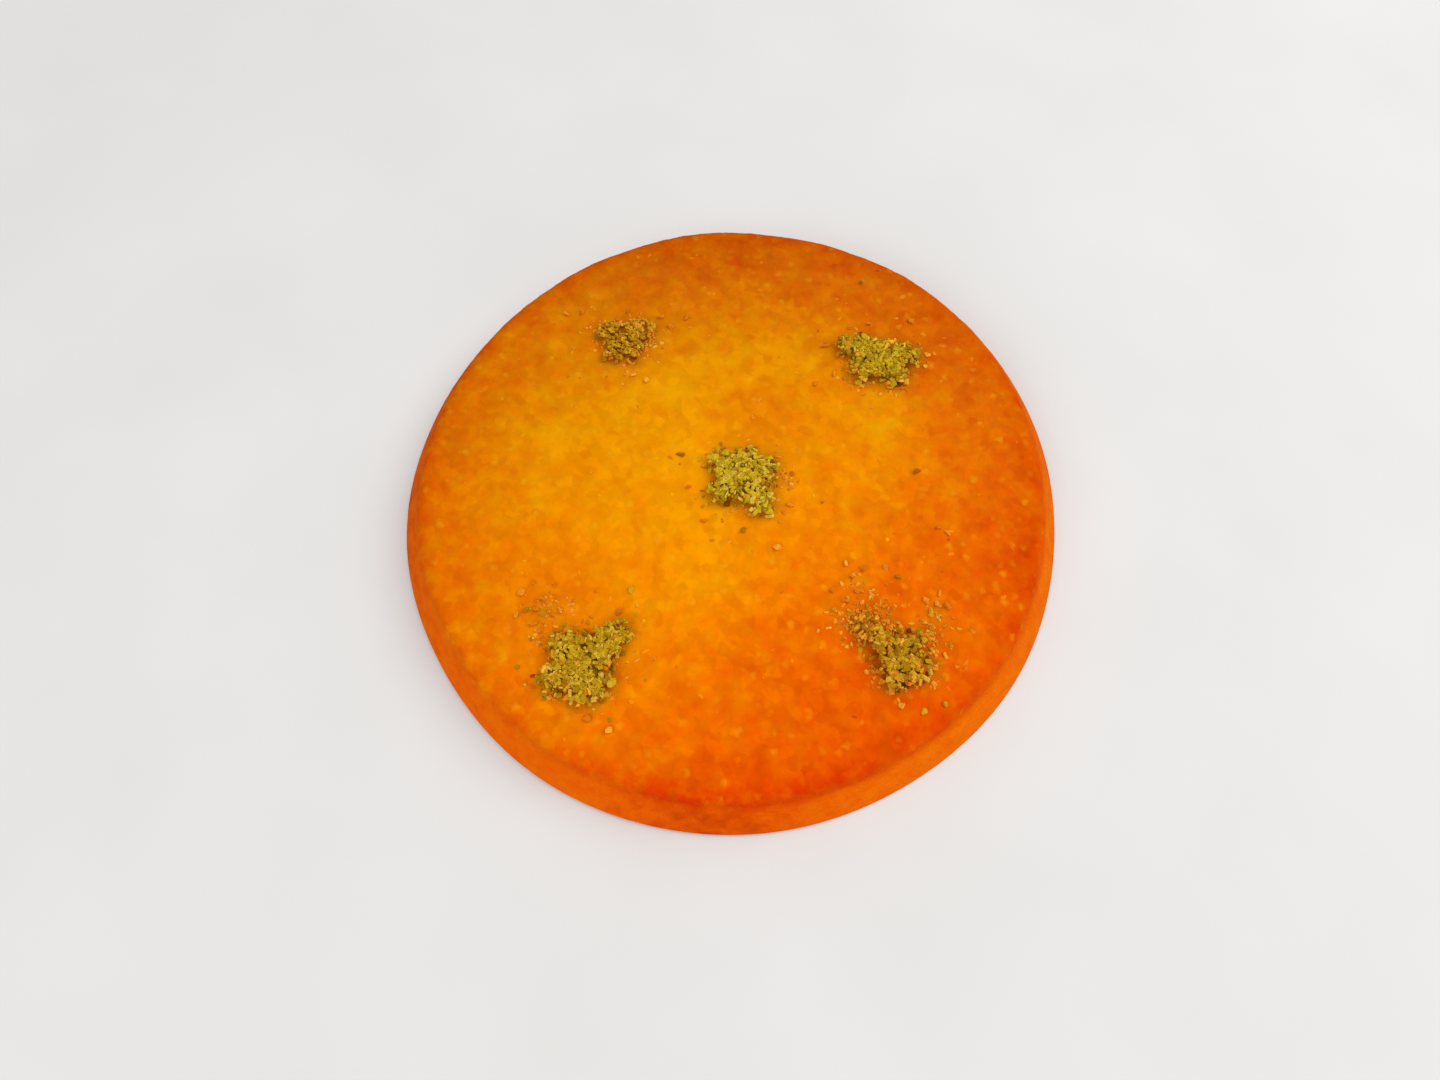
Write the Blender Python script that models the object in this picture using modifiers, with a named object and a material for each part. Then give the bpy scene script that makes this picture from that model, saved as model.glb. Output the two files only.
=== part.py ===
"""A whole kunafa, turned out of its tray: a flat round cheese pastry with a browned crust.

Five low heaps of ground pistachio lie on it, one in the middle and four round it, and a few
loose crumbs are scattered between them. Metres, +Z up. The origin is under the middle of the
pastry, on the surface that it rests on.
"""
import math
import random

import bmesh
import bpy
from mathutils import Euler, Matrix, Vector

MM = 0.001

# The pastry. Its tray's wall leaned out towards the rim, so the foot is wider than the top.
FOOT_RADIUS = 130 * MM
TOP_RADIUS = 121.5 * MM
THICKNESS = 18 * MM
SHOULDER = 4.5 * MM          # rounding of the browned top edge
SHOULDER_TURN = 80           # degrees that it turns through before the side begins
SHOULDER_STEPS = 3
FOOT_ROUND = 1.5 * MM        # rounding of the edge that it rests on
SIDE_BELLY = 0.5 * MM        # how far the side swells between top and foot
TOP_RING = 23 * MM           # spacing of the rings of points across the top
TURN_STEPS = 72

# How the outline departs from a circle: waves round it, height of each, and where its crest is.
OUTLINE_WAVES = ((2, 0.75 * MM, 41), (3, 0.3 * MM, 48), (5, 0.35 * MM, 36), (8, 0.2 * MM, 10))

# The top dips gently between the heaps. Round each heap it stays flat.
DIP_DEPTH = 0.7 * MM
DIP_WAVE = 62 * MM
FLAT_RADIUS = 27 * MM
FLAT_FADE = 16 * MM

# Ground pistachio. Each heap's place on the top, then its lobes in mm: x, y and radius from there.
GAP = 0.3 * MM
HEAPS = {
    "centre": {
        "seed": 1,
        "place": (5 * MM, -2 * MM),
        "height": 3.0 * MM,
        "grains": 26,
        "lobes": ((0, 0, 11), (-7, 7, 6), (7, -10, 6), (9, 4, 5.5), (-8, -5, 5.5), (1, 9, 5)),
    },
    "back_left": {
        "seed": 2,
        "place": (-43 * MM, 63 * MM),
        "height": 1.8 * MM,
        "grains": 18,
        "lobes": ((0, 0, 8), (6, 4, 6), (-8, 3, 5), (-5, -7, 5.5), (3, -8, 4)),
    },
    "back_right": {
        "seed": 3,
        "place": (62 * MM, 52 * MM),
        "height": 3.0 * MM,
        "grains": 28,
        "lobes": ((0, 0, 10), (9, 1, 6.5), (5, -8, 5.5), (-8, 5, 6.5), (-14, 6, 4.5), (-8, -5, 6)),
    },
    "front_left": {
        "seed": 4,
        "place": (-52 * MM, -74 * MM),
        "height": 3.2 * MM,
        "grains": 29,
        "lobes": ((0, 0, 11), (7, 6, 7), (12, 11, 5), (-7, 7, 6), (-9, -5, 6), (1, -9, 6.5), (7, -7, 5)),
    },
    "front_right": {
        "seed": 5,
        "place": (59 * MM, -70 * MM),
        "height": 2.8 * MM,
        "grains": 28,
        "lobes": ((0, 0, 10), (-1, -8, 6), (7, -5, 6), (8, 4, 5.5), (-7, 6, 6), (-11, 11, 5)),
    },
}
CORE_SIDES = 32
CORE_RINGS = 7
CORE_SINK = 0.15 * MM        # how much of the core's upper half goes with the underside
BUMP_HEIGHT = 0.8 * MM       # the finer grains stand on the heap as bumps of their own size
BUMP_STRAY = 0.6 * MM        # at the rim, and less towards the middle
GRAIN_LARGEST = 3.2 * MM
GRAIN_SMALLEST = 2.1 * MM
GRAIN_TRIES = 12             # places drawn for each grain, of which the emptiest is taken
GRAIN_SINK = 0.25            # of the grain's size, into the heap under it
GRAIN_REST = 0.25            # of the grain's size, the lowest that its middle lies over the crust
CUT_BLOCK = 60 * MM          # block under a heap that takes its underside off flat

# A crushed nut breaks into flat-sided chips: the ratios of one, and how far it tilts, in radians.
CHIP_ROUGHNESS = 0.18
CHIP_LENGTH = 1.12
CHIP_NARROWEST = 0.8
CHIP_FLATNESS = 0.66
CHIP_TILT = 0.7

# Loose crumbs on the crust in mm: place and spread of each scatter, and how many lie in it.
SCATTERS = (
    (-71, -54, 5.5, 8),
    (47, -43, 6.5, 8),
    (75, -53, 5, 5),
    (-42, 66, 18, 7),
    (60, 55, 21, 7),
    (4, 0, 20, 7),
    (-50, -72, 21, 5),
    (56, -66, 21, 5),
    (73, 2, 1, 1),
    (82, -24, 3, 2),
    (-20, 9, 1, 1),
    (78, 70, 6, 1),
)
CRUMB_SEED = 17
CRUMB_LARGEST = 2.8 * MM
CRUMB_SMALLEST = 1.9 * MM
CRUMB_STRAY = 0.6            # of the scatter's spread, the usual distance from its middle
CRUMB_TRIES = 40             # places drawn for each crumb until one is free
CRUMB_RISE = 0.22            # of the crumb's size, from the crust up to its middle
CRUMB_SPACING = 1.3          # of the crumb's size, centre to centre
HEAP_CLEARANCE = 3.2 * MM    # from a heap's lobe to a loose crumb's middle

SHAPE_SEED = 100             # added to the seed of a heap or scatter for the shapes of its chips
SHARP_ANGLE = 32             # degrees, from which an edge is shaded sharp


def srgb(hex_colour):
    """Linear RGBA for an sRGB hex colour."""
    channels = [int(hex_colour[i:i + 2], 16) / 255 for i in (0, 2, 4)]
    linear = [c / 12.92 if c <= 0.04045 else ((c + 0.055) / 1.055) ** 2.4 for c in channels]
    return (*linear, 1.0)


def finish(name, hex_colour, roughness):
    """A plain material with the food's own colour and gloss."""
    material = bpy.data.materials.new(name)
    material.use_nodes = True
    shader = material.node_tree.nodes["Principled BSDF"]
    shader.inputs["Base Color"].default_value = srgb(hex_colour)
    shader.inputs["Roughness"].default_value = roughness
    shader.inputs["Metallic"].default_value = 0.0
    return material


def new_collection(name):
    collection = bpy.data.collections.new(name)
    bpy.context.scene.collection.children.link(collection)
    return collection


def add_object(name, mesh, collection, material=None):
    item = bpy.data.objects.new(name, mesh)
    collection.objects.link(item)
    if material:
        mesh.materials.append(material)
    return item


def mesh_from(shape, name):
    """A mesh with the shape that was worked on, which is freed."""
    mesh = bpy.data.meshes.new(name)
    shape.to_mesh(mesh)
    shape.free()
    return mesh


def evaluated_mesh(item):
    """New mesh of an object with its modifiers applied."""
    bpy.context.view_layer.update()
    graph = bpy.context.evaluated_depsgraph_get()
    return bpy.data.meshes.new_from_object(item.evaluated_get(graph))


def smoothstep(value):
    value = min(max(value, 0.0), 1.0)
    return value * value * (3 - 2 * value)


def outline_scale(angle):
    """Ratio of the uneven outline to a true circle at an angle, in radians."""
    swell = 0.0
    for count, height, crest in OUTLINE_WAVES:
        swell += height * math.cos(count * (angle - math.radians(crest)))
    return 1 + swell / FOOT_RADIUS


def outline_middle():
    """Middle of the uneven outline's box, which is brought back over the origin."""
    xs = []
    ys = []
    for step in range(TURN_STEPS):
        angle = math.tau * step / TURN_STEPS
        radius = FOOT_RADIUS * outline_scale(angle)
        xs.append(radius * math.cos(angle))
        ys.append(radius * math.sin(angle))
    return Vector(((min(xs) + max(xs)) / 2, (min(ys) + max(ys)) / 2, 0))


def dip(x, y):
    """How far the top lies below its full height: nothing round the heaps."""
    nearest = min(math.hypot(x - heap["place"][0], y - heap["place"][1]) for heap in HEAPS.values())
    share = smoothstep((nearest - FLAT_RADIUS) / FLAT_FADE)
    phase = math.tau / DIP_WAVE
    wave = math.sin(phase * (x + 0.4 * y) + 0.7) * math.sin(phase * (y - 0.3 * x) + 1.9)
    return DIP_DEPTH * share * (0.5 + 0.5 * wave)


def side_profile():
    """Points of the turned section, from the middle of the top down to the middle of the underside."""
    flat_edge = TOP_RADIUS - SHOULDER
    points = [(ring * TOP_RING, THICKNESS) for ring in range(int(flat_edge / TOP_RING) + 1)]
    for step in range(SHOULDER_STEPS + 1):
        turn = math.radians(SHOULDER_TURN) * step / SHOULDER_STEPS
        drop = SHOULDER * (1 - math.cos(turn))
        points.append((flat_edge + SHOULDER * math.sin(turn), THICKNESS - drop))
    upper_radius, upper_height = points[-1]
    points.append(((upper_radius + FOOT_RADIUS) / 2 + SIDE_BELLY, (upper_height + FOOT_ROUND) / 2))
    points.append((FOOT_RADIUS, FOOT_ROUND))
    points.append((FOOT_RADIUS - 0.4 * FOOT_ROUND, 0.3 * FOOT_ROUND))
    points.append((FOOT_RADIUS - FOOT_ROUND, 0.0))
    points.append((0.0, 0.0))
    return points


def turned_mesh(points, collection):
    """Mesh turned about Z from a profile, by a Screw modifier."""
    profile = bpy.data.meshes.new("section")
    vertices = [(x, 0.0, z) for x, z in points]
    edges = [(i, i + 1) for i in range(len(points) - 1)]
    profile.from_pydata(vertices, edges, [])
    section = add_object("section", profile, collection)
    screw = section.modifiers.new("turn", "SCREW")
    screw.axis = "Z"
    screw.angle = math.tau
    screw.steps = TURN_STEPS
    screw.render_steps = TURN_STEPS
    screw.use_merge_vertices = True
    screw.merge_threshold = 0.00001
    mesh = evaluated_mesh(section)
    bpy.data.objects.remove(section, do_unlink=True)
    return mesh


def shape_pastry(mesh):
    """Give the turned disc its uneven outline and gently dipping top."""
    middle = outline_middle()
    for vertex in mesh.vertices:
        place = vertex.co
        scale = outline_scale(math.atan2(place.y, place.x))
        x = place.x * scale - middle.x
        y = place.y * scale - middle.y
        height = place.z - dip(x, y) * (place.z / THICKNESS)
        vertex.co = (x, y, height)


def add_chip(place, size, chance, scratch):
    """An angular chip of nut: a jittered, flattened, turned icosphere."""
    shape = bmesh.new()
    bmesh.ops.create_icosphere(shape, subdivisions=1, radius=size / 2)
    for vertex in shape.verts:
        vertex.co *= 1 + chance.uniform(-CHIP_ROUGHNESS, CHIP_ROUGHNESS)
    width = chance.uniform(CHIP_NARROWEST, 1.0)
    flatten = Matrix.Diagonal((CHIP_LENGTH, width, CHIP_FLATNESS, 1.0))
    tilt_x = chance.uniform(-CHIP_TILT, CHIP_TILT)
    tilt_y = chance.uniform(-CHIP_TILT, CHIP_TILT)
    turn = Euler((tilt_x, tilt_y, chance.uniform(0, math.tau)))
    bmesh.ops.transform(shape, matrix=turn.to_matrix().to_4x4() @ flatten, verts=shape.verts)
    chip = add_object("chip", mesh_from(shape, "chip"), scratch)
    chip.location = place


def heap_reach(angle, heap):
    """How far a heap runs from its own middle in a direction: out to the farthest of its lobes."""
    reach = 0.0
    for lobe_x, lobe_y, radius in heap["lobes"]:
        along = lobe_x * math.cos(angle) + lobe_y * math.sin(angle)
        across = lobe_y * math.cos(angle) - lobe_x * math.sin(angle)
        if abs(across) < radius:
            reach = max(reach, along + math.sqrt(radius * radius - across * across))
    return reach * MM


def core_height(x, y, heap):
    """Height of the heap's core at a place measured from its own middle, without the bumps."""
    share = math.hypot(x, y) / heap_reach(math.atan2(y, x), heap)
    return heap["height"] * math.sqrt(max(1 - share * share, 0.0))


def core_mesh(heap, chance):
    """A low mound with bumps, out to the heap's lobes. Its lower half is cut off with the underside."""
    shape = bmesh.new()
    bmesh.ops.create_uvsphere(shape, u_segments=CORE_SIDES, v_segments=2 * CORE_RINGS, radius=1.0)
    for vertex in shape.verts:
        place = vertex.co
        angle = math.atan2(place.y, place.x)
        share = math.acos(min(abs(place.z), 1.0)) * 2 / math.pi
        reach = share * heap_reach(angle, heap)
        stray_x = BUMP_STRAY * share * chance.uniform(-1, 1)
        stray_y = BUMP_STRAY * share * chance.uniform(-1, 1)
        dome = heap["height"] * math.sqrt(1 - share * share)
        bump = BUMP_HEIGHT * chance.uniform(-1, 1) * min(3 * share, 1) * math.sqrt(1 - share)
        height = math.copysign(dome, place.z) + bump - CORE_SINK
        vertex.co = (reach * math.cos(angle) + stray_x, reach * math.sin(angle) + stray_y, height)
    return mesh_from(shape, "core")


def grain_places(heap):
    """Places and sizes of a heap's grains, largest first, each in the emptiest of the places drawn."""
    chance = random.Random(heap["seed"])
    areas = [radius * radius for _, _, radius in heap["lobes"]]
    placed = []
    for number in range(heap["grains"]):
        size = GRAIN_LARGEST + (GRAIN_SMALLEST - GRAIN_LARGEST) * number / (heap["grains"] - 1)
        emptiest = -1.0
        for _ in range(GRAIN_TRIES):
            lobe_x, lobe_y, radius = chance.choices(heap["lobes"], areas)[0]
            angle = chance.uniform(0, math.tau)
            reach = radius * math.sqrt(chance.random())
            x = (lobe_x + reach * math.cos(angle)) * MM
            y = (lobe_y + reach * math.sin(angle)) * MM
            room = min((math.hypot(x - px, y - py) for px, py, _ in placed), default=0.0)
            if room > emptiest:
                emptiest = room
                place = (x, y, size)
        placed.append(place)
    return placed


def clear_of_heaps(x, y):
    for heap in HEAPS.values():
        for lobe_x, lobe_y, radius in heap["lobes"]:
            gap_x = x - heap["place"][0] - lobe_x * MM
            gap_y = y - heap["place"][1] - lobe_y * MM
            if math.hypot(gap_x, gap_y) < radius * MM + HEAP_CLEARANCE:
                return False
    return True


def crumb_places():
    """Places and sizes of the loose crumbs, clear of each other and of the heaps."""
    chance = random.Random(CRUMB_SEED)
    placed = []
    for centre_x, centre_y, spread, count in SCATTERS:
        for _ in range(count):
            size = chance.uniform(CRUMB_SMALLEST, CRUMB_LARGEST)
            for _ in range(CRUMB_TRIES):
                x = chance.gauss(centre_x, spread * CRUMB_STRAY) * MM
                y = chance.gauss(centre_y, spread * CRUMB_STRAY) * MM
                apart = all(math.hypot(x - px, y - py) > size * CRUMB_SPACING for px, py, _ in placed)
                if apart and clear_of_heaps(x, y):
                    placed.append((x, y, size))
                    break
    return placed


def apply_modifiers(item):
    mesh = evaluated_mesh(item)
    item.modifiers.clear()
    item.data = mesh


def join_by_union(item, others, solver):
    """Fuse a collection's objects to an object, and remove them."""
    union = item.modifiers.new("fuse", "BOOLEAN")
    union.operation = "UNION"
    union.operand_type = "COLLECTION"
    union.collection = others
    union.solver = solver
    apply_modifiers(item)
    for other in list(others.objects):
        bpy.data.objects.remove(other, do_unlink=True)


def cut_underside(item, scratch):
    """Take off what lies below the level of the crust, which leaves a flat underside."""
    shape = bmesh.new()
    bmesh.ops.create_cube(shape, size=CUT_BLOCK)
    bmesh.ops.translate(shape, verts=shape.verts, vec=(0, 0, -CUT_BLOCK / 2))
    cutter = add_object("underside_cutter", mesh_from(shape, "underside_cutter"), scratch)
    cutter.hide_render = True
    cutter.display_type = "WIRE"
    cut = item.modifiers.new("cut", "BOOLEAN")
    cut.operation = "DIFFERENCE"
    cut.object = cutter
    cut.solver = "MANIFOLD"
    apply_modifiers(item)
    bpy.data.objects.remove(cutter, do_unlink=True)


def keep_one_body(mesh):
    """Triangulate, and keep the largest closed body: no loose scrap and no sealed hollow is left."""
    shape = bmesh.new()
    shape.from_mesh(mesh)
    bmesh.ops.triangulate(shape, faces=shape.faces)
    unseen = set(shape.faces)
    bodies = []
    while unseen:
        body = set()
        frontier = [unseen.pop()]
        while frontier:
            face = frontier.pop()
            body.add(face)
            for edge in face.edges:
                for neighbour in edge.link_faces:
                    if neighbour in unseen:
                        unseen.remove(neighbour)
                        frontier.append(neighbour)
        bodies.append(body)
    largest = max(bodies, key=len)
    scraps = [face for face in shape.faces if face not in largest]
    bmesh.ops.delete(shape, geom=scraps, context="FACES")
    shape.to_mesh(mesh)
    shape.free()


def build_pastry(parts, scratch, crust):
    """The pastry, with the loose crumbs pressed a little into its soft crust."""
    mesh = turned_mesh(side_profile(), scratch)
    shape_pastry(mesh)
    pastry = add_object("kunafa", mesh, parts, crust)
    chance = random.Random(CRUMB_SEED + SHAPE_SEED)
    for x, y, size in crumb_places():
        height = THICKNESS - dip(x, y) + CRUMB_RISE * size
        add_chip((x, y, height), size, chance, scratch)
    join_by_union(pastry, scratch, "EXACT")
    keep_one_body(pastry.data)
    return pastry


def build_heap(label, heap, parts, scratch, pistachio, pastry):
    """One heap of ground pistachio: a bumpy core with the largest grains fused on."""
    chance = random.Random(heap["seed"] + SHAPE_SEED)
    item = add_object("pistachio_heap_" + label, core_mesh(heap, chance), parts, pistachio)
    for x, y, size in grain_places(heap):
        height = core_height(x, y, heap) + size * (CHIP_FLATNESS / 2 - GRAIN_SINK)
        add_chip((x, y, max(height, GRAIN_REST * size)), size, chance, scratch)
    join_by_union(item, scratch, "MANIFOLD")
    cut_underside(item, scratch)
    keep_one_body(item.data)
    item.location = (*heap["place"], THICKNESS + GAP)
    item.parent = pastry


def main():
    for item in list(bpy.data.objects):
        bpy.data.objects.remove(item, do_unlink=True)
    parts = new_collection("kunafa")
    scratch = new_collection("cutters")
    crust = finish("browned_crust", "E8780A", 0.42)
    pistachio = finish("ground_pistachio", "A38016", 0.7)
    pastry = build_pastry(parts, scratch, crust)
    for label, heap in HEAPS.items():
        build_heap(label, heap, parts, scratch, pistachio, pastry)
    for item in parts.objects:
        item.data.shade_smooth()
        item.data.set_sharp_from_angle(angle=math.radians(SHARP_ANGLE))


main()
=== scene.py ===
"""A whole kunafa as it leaves the sweet shop: a round cheese pastry under a fine browned crust.

Five little heaps of ground pistachio lie on it. The pastry and each heap are modelled round
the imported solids, in metres and in the same frame: +Z is up, and the pastry rests on z = 0.
"""
import math
import random

import bpy
import numpy as np
from mathutils import Euler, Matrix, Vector


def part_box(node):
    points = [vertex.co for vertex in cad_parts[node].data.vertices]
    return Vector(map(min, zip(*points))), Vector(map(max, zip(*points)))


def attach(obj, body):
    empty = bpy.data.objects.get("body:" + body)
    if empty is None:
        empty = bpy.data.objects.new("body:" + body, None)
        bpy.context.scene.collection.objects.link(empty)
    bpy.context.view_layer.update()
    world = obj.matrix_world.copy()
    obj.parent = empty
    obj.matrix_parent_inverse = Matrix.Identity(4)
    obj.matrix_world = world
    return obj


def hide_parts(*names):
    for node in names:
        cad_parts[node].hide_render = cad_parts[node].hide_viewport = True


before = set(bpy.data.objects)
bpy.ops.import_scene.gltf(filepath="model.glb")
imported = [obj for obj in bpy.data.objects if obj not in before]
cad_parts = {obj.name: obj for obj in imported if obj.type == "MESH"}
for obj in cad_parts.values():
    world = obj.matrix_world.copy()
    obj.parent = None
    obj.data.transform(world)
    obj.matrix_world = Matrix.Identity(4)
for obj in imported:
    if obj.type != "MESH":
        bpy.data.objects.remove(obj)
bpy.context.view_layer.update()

MM = 0.001

# The pastry, as in its solid. The top's height comes from the heap that rests 0.3 mm over it.
GAP = 0.3 * MM
FOOT_RADIUS = 130 * MM
TOP_RADIUS = 121.5 * MM
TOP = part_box("pistachio_heap_centre")[0].z - GAP
SHOULDER = 4.5 * MM
SHOULDER_TURN = 80           # degrees
FOOT_ROUND = 1.5 * MM
SIDE_BELLY = 0.5 * MM
FLAT_EDGE = TOP_RADIUS - SHOULDER
OUTLINE_WAVES = ((2, 0.75 * MM, 41), (3, 0.3 * MM, 48), (5, 0.35 * MM, 36), (8, 0.2 * MM, 10))
OUTLINE_SAMPLES = 72
DIP_DEPTH = 0.7 * MM
DIP_WAVE = 62 * MM
DIP_SLANTS = (0.4, -0.3)
DIP_PHASES = (0.7, 1.9)
FLAT_RADIUS = 27 * MM
FLAT_FADE = 16 * MM

# The ring that butter fried darkest: where it lies, its least strength, and where it is stronger,
# as the bearing and the width in degrees and how much. The first is the front, the darkest.
RING_INSIDE = 111 * MM
RING_CREST = 120.5 * MM
RING_OUTSIDE = 124 * MM
RING_LEAST = 0.26
RING_SPOTS = ((268, 22, 0.54), (165, 24, 0.34))
# The side's painted reflection of light that a gold plate under it threw back: how much lighter it is, by
# bearing.
REFLECTION_BEARING = 310         # painted reflection lightens the side most here, and least opposite
REFLECTION_SHARE = 0.13
REFLECTION_LOST_AT_FRONT = 0.28          # and under the darkest of the ring the side is this much darker, where the plate reflected no light

# How the oven coloured the top, whatever its height: its palest place, the oval round that where
# it is baked halfway, the place that kept most butter and was lit best, and how far from there it
# is darkest. That darkening towards the back is partly a browner bake and partly painted shade.
PALE_PLACE = (-21 * MM, 3.4 * MM, TOP)
PALE_REACH = (117 * MM, 96.5 * MM, 1)
PALE_TURN = 19               # degrees
BUTTERY_LIT_PLACE = (24 * MM, -124 * MM, TOP)
TOAST_AND_SHADE_REACH = (240 * MM, 240 * MM, 1)

# How far out the side's looks take over from the top's: its colour, its matt finish and its
# deeper grain.
SIDE_COLOUR = (119 * MM, 124.5 * MM)
SIDE_MATT = (108 * MM, 116.5 * MM)
SIDE_GRAIN = (116.5 * MM, 123.5 * MM)

# How finely the pastry is modelled.
RIM_POINTS = 960
SHOULDER_RINGS = 8
SIDE_RINGS = 11
FOOT_RINGS = 3
UNDERSIDE_RINGS = 9
UNDERSIDE_RING = 6 * MM

# The crust's relief: name of each layer, its size and its depth in mm. It fades out at the foot.
CRUST_RELIEF = (("slow_swell", 13, 0.35), ("packed_dough", 4.5, 0.3), ("strand_ends", 1.9, 0.22))
RELIEF_FADE = 4 * MM

# The heaps of ground pistachio, as in their solids: place, height, lobes in mm and big grains.
# skins is how much brown skin is in the heap, most of it along the edge. fresh is over 1 where
# the kernels are more yellow than olive, and soak is how far syrup browned them. packed is the
# share of its reach where it is thick enough to hide the crust. largest is its largest crumb but
# for those grains. crumbs and fines count its smaller pieces, and strays those that lie round it.
HEAPS = {
    "centre": {
        "seed": 1, "place": (5 * MM, -2 * MM),
        "height": 3.0 * MM, "grains": 26,
        "lobes": ((0, 0, 11), (-7, 7, 6), (7, -10, 6), (9, 4, 5.5), (-8, -5, 5.5), (1, 9, 5)),
        "skins": 0.45, "fresh": 1.25, "soak": 0.05, "packed": 0.62,
        "largest": 2.7 * MM, "crumbs": 210, "fines": 130, "strays": 60,
    },
    "back_left": {
        "seed": 2, "place": (-43 * MM, 63 * MM),
        "height": 1.8 * MM, "grains": 18,
        "lobes": ((0, 0, 8), (6, 4, 6), (-8, 3, 5), (-5, -7, 5.5), (3, -8, 4)),
        "skins": 0.55, "fresh": 0.8, "soak": 0.95, "packed": 0.48,
        "largest": 2.2 * MM, "crumbs": 68, "fines": 130, "strays": 80,
    },
    "back_right": {
        "seed": 3, "place": (62 * MM, 52 * MM),
        "height": 3.0 * MM, "grains": 28,
        "lobes": ((0, 0, 10), (9, 1, 6.5), (5, -8, 5.5), (-8, 5, 6.5), (-14, 6, 4.5), (-8, -5, 6)),
        "skins": 0.6, "fresh": 0.56, "soak": 0.1, "packed": 0.66,
        "largest": 2.6 * MM, "crumbs": 205, "fines": 140, "strays": 80,
    },
    "front_left": {
        "seed": 4, "place": (-52 * MM, -74 * MM),
        "height": 3.2 * MM, "grains": 29,
        "lobes": ((0, 0, 11), (7, 6, 7), (12, 11, 5), (-7, 7, 6), (-9, -5, 6), (1, -9, 6.5), (7, -7, 5)),
        "skins": 0.4, "fresh": 0.95, "soak": 0.4, "packed": 0.64,
        "largest": 2.9 * MM, "crumbs": 225, "fines": 190, "strays": 80,
    },
    "front_right": {
        "seed": 5, "place": (59 * MM, -70 * MM),
        "height": 2.8 * MM, "grains": 28,
        "lobes": ((0, 0, 10), (-1, -8, 6), (7, -5, 6), (8, 4, 5.5), (-7, 6, 6), (-11, 11, 5)),
        "skins": 1.3, "fresh": 0.8, "soak": 0.85, "packed": 0.5,
        "largest": 2.9 * MM, "crumbs": 135, "fines": 110, "strays": 90,
    },
}

# The broken shapes that crumbs of nut are copies of: how many, the corners broken off each and how
# far from its middle. Then length, width and height of the three kinds, and how far crumbs lean.
NUT_SEED = 40
NUT_SHAPES = 14
NUT_BREAKS = 6
NUT_BREAK = (0.36, 0.48)
SLIVER = (1.45, 0.66, 0.56)
CHUNK = (1.05, 0.95, 0.75)
FLAKE = (1.15, 1.0, 0.42)
NUT_TILT = 0.7               # radians

# Tints of nut up to the first of these are kernel, and those above it skin.
KERNEL_TINTS = 0.6
SKIN_TINT = 0.92
LOOSE_BROWN = 0.86           # share of the loose crumbs that is tan
LOOSE_DARKEST = 0.88
LOOSE_SOAK = 1.0
DAMP_SHADED_PACKED = 0.6            # a heap packed less than this is soaked with syrup, its meal painted darker for shade between crumbs

# The big grains: their sizes, how many places are tried for each, and then against its size how
# high its middle rests at least, how flat it is in the solid and how deep it sinks in the core.
GRAIN_LARGEST = 3.2 * MM
GRAIN_SMALLEST = 2.1 * MM
GRAIN_TRIES = 12
GRAIN_REST = 0.25
CHIP_FLATNESS = 0.66
GRAIN_SINK = 0.25
GRAIN_SHOWN = 0.78           # its broken shape's size, whose corners reach past that
GRAIN_CLAIM = 0.8            # width in which finer crumbs lie on it

# The crumbs between them: how much smaller a heap's last is than its first, the share of a lobe's
# radius in which they lie, the sizes of the finest in mm, and how all crowd towards a lobe's
# middle: 0.5 would be even.
CRUMB_TAPER = 0.45
CRUMB_SPREAD = 0.9
FINE_SIZES = (0.8, 1.6)
CRUMB_CROWDING = 0.75
SKIN_INSIDE = 0.08           # share of them that is skin in the middle, against the heap's skins
SKIN_OUTSIDE = 0.6           # and how much more along the edge

# How they pile up on a fine grid: its cells and half its width, and then against a crumb's size
# how far its middle stands over what it lies on, and its top over its middle.
GRID_CELL = 0.25 * MM
GRID_HALF = 24 * MM
CRUMB_STAND = 0.22
CRUMB_TOP = 0.2

# The meal inside a heap: its height against the heap's, how finely it is modelled, its relief in
# mm, and how far under the crust's level it is cut off.
MEAL_HEIGHT = 0.8
MEAL_SEGMENTS = 96
MEAL_RINGS = 40
MEAL_GRAIN = 1.2
MEAL_DEPTH = 0.9
MEAL_BURIED = 0.2 * MM

# Loose crumbs of nut on the crust, as in its solid: place and spread in mm, and how many.
SCATTERS = (
    (-71, -54, 5.5, 8), (47, -43, 6.5, 8), (75, -53, 5, 5), (-42, 66, 18, 7), (60, 55, 21, 7),
    (4, 0, 20, 7), (-50, -72, 21, 5), (56, -66, 21, 5), (73, 2, 1, 1), (82, -24, 3, 2),
    (-20, 9, 1, 1), (78, 70, 6, 1),
)
BITS_OF_SKIN = ((73, 2), (-20, 9))      # the crumbs within reach of these are of brown skin
SKIN_REACH = 4 * MM
CRUMB_SEED = 17
CRUMB_LARGEST = 2.8 * MM
CRUMB_SMALLEST = 1.9 * MM
CRUMB_STRAY = 0.6
CRUMB_TRIES = 40
CRUMB_RISE = 0.22
CRUMB_SPACING = 1.3
CRUMB_SHOWN = 0.85           # its broken shape's size, whose corners reach past that
HEAP_CLEARANCE = 3.2 * MM

# Finer crumbs that fell short of the heaps: place and spread in mm, and how many.
SPRINKLES = (
    (49, -58, 10, 100), (-67, -54, 8, 60), (74, -56, 5, 26), (47, -44, 5, 18), (75, -66, 7, 22),
    (-41, 62, 16, 80), (-33, 61, 4, 14), (60, 54, 18, 45), (5, -2, 17, 45), (22, -3, 3, 14),
    (-52, -72, 19, 45), (41, -58, 5, 36), (55, -56, 5, 40),
)
SPRINKLE_SIZES = (0.7, 1.8)  # mm
SPRINKLE_OVERLAP = 1 * MM    # how far they may lie on a heap's edge
DUST_SHADE_REACH = 4 * MM          # how far powder of nut and painted shade run out from a heap
DUST_SHADE_FADE = 0.85             # and out of a sprinkle, against its spread

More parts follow.
